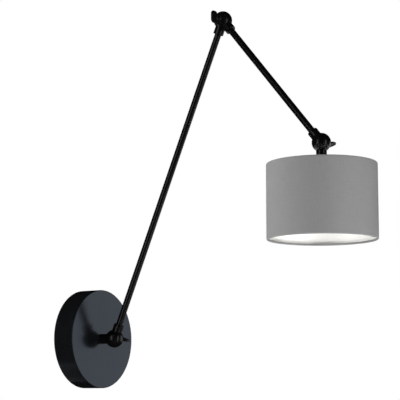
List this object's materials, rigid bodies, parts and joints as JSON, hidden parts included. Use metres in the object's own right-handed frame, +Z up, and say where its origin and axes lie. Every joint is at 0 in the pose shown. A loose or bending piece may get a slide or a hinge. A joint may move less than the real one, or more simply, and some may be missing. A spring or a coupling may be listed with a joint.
{
  "type": "articulating wall lamp",
  "caption": "Wall lamp with a round canopy, two tube arms on friction ball knuckles with thumb screws, and a drum shade that hangs from the outer knuckle.",
  "frame": {"origin": "centre of the wall bracket's back face, on the wall", "axes": "+Z up the wall, -Y straight out of the wall into the room, +X along the knuckles' pivots, to the right of someone facing the wall"},
  "size_m": [0.16, 0.5081, 0.5695],
  "materials": {
    "satin_black": "satin black powder coat",
    "zinc_steel": "bright zinc plate",
    "brass": "turned brass",
    "nickel_brass": "nickel-plated brass",
    "block_plastic": "moulded natural nylon",
    "black_plastic": "moulded black thermoplastic",
    "porcelain": "white glazed porcelain",
    "grey_fabric": "woven grey cotton",
    "white_lining": "white styrene sheet",
    "white_wire": "white epoxy-coated wire",
    "flex_sheath": "black sheath",
    "lead_insulation": "brown, blue and green-yellow core insulation"
  },
  "bodies": {
    "wall_unit": {"canopy_cover": "satin_black", "wall_bracket": "zinc_steel", "cover_nuts": "zinc_steel", "cover_grub_screws": "satin_black", "canopy_nipple": "zinc_steel", "nipple_washer": "zinc_steel", "nipple_nut": "zinc_steel", "terminal_block": "block_plastic", "terminal_inserts": "brass", "terminal_screws": "zinc_steel", "block_screw": "zinc_steel", "earth_screw": "brass", "earth_washer": "brass", "canopy_leads": "lead_insulation", "base_fixed_half": "satin_black", "base_friction_washer": "nickel_brass"},
    "lower_arm": {"base_moving_half": "satin_black", "base_spring_washer": "zinc_steel", "arm_1_tube": "satin_black", "arm_1_flex": "flex_sheath", "elbow_fixed_half": "satin_black", "elbow_friction_washer": "nickel_brass", "elbow_spring_washer": "zinc_steel"},
    "upper_arm": {"elbow_moving_half": "satin_black", "arm_2_tube": "satin_black", "arm_2_flex": "flex_sheath", "head_fixed_half": "satin_black", "head_friction_washer": "nickel_brass"},
    "lamp_head": {"head_moving_half": "satin_black", "head_spring_washer": "zinc_steel", "holder_nipple": "zinc_steel", "holder_cap": "satin_black", "holder_skirt": "black_plastic", "holder_insulator": "porcelain", "holder_screws": "zinc_steel", "screw_shell": "nickel_brass", "centre_contact": "brass", "shade_fabric": "grey_fabric", "shade_lining": "white_lining", "shade_carrier": "white_wire", "shade_bottom_ring": "white_wire", "ring_nut": "black_plastic"},
    "base_screw": {"base_thumb_screw": "satin_black"},
    "elbow_screw": {"elbow_thumb_screw": "satin_black"},
    "head_screw": {"head_thumb_screw": "satin_black"}
  },
  "joints": [
    {"name": "base_tilt", "type": "hinge", "parent": "wall_unit", "child": "lower_arm", "pos_m": [0, -0.058, 0], "axis": [1, 0, 0], "range_deg": [-15, 100]},
    {"name": "elbow_fold", "type": "hinge", "parent": "lower_arm", "child": "upper_arm", "pos_m": [0, -0.26034, 0.47902], "axis": [-1, 0, 0], "range_deg": [0, 110]},
    {"name": "head_tilt", "type": "hinge", "parent": "upper_arm", "child": "lamp_head", "pos_m": [0, -0.4281, 0.27259], "axis": [1, 0, 0], "range_deg": [-90, 60]},
    {"name": "base_thumb_turn", "type": "hinge", "parent": "wall_unit", "child": "base_screw", "pos_m": [0, -0.058, 0], "axis": [1, 0, 0], "range_deg": [0, 270]},
    {"name": "elbow_thumb_turn", "type": "hinge", "parent": "upper_arm", "child": "elbow_screw", "pos_m": [0, -0.26034, 0.47902], "axis": [-1, 0, 0], "range_deg": [0, 270]},
    {"name": "head_thumb_turn", "type": "hinge", "parent": "upper_arm", "child": "head_screw", "pos_m": [0, -0.4281, 0.27259], "axis": [1, 0, 0], "range_deg": [0, 270]}
  ]
}
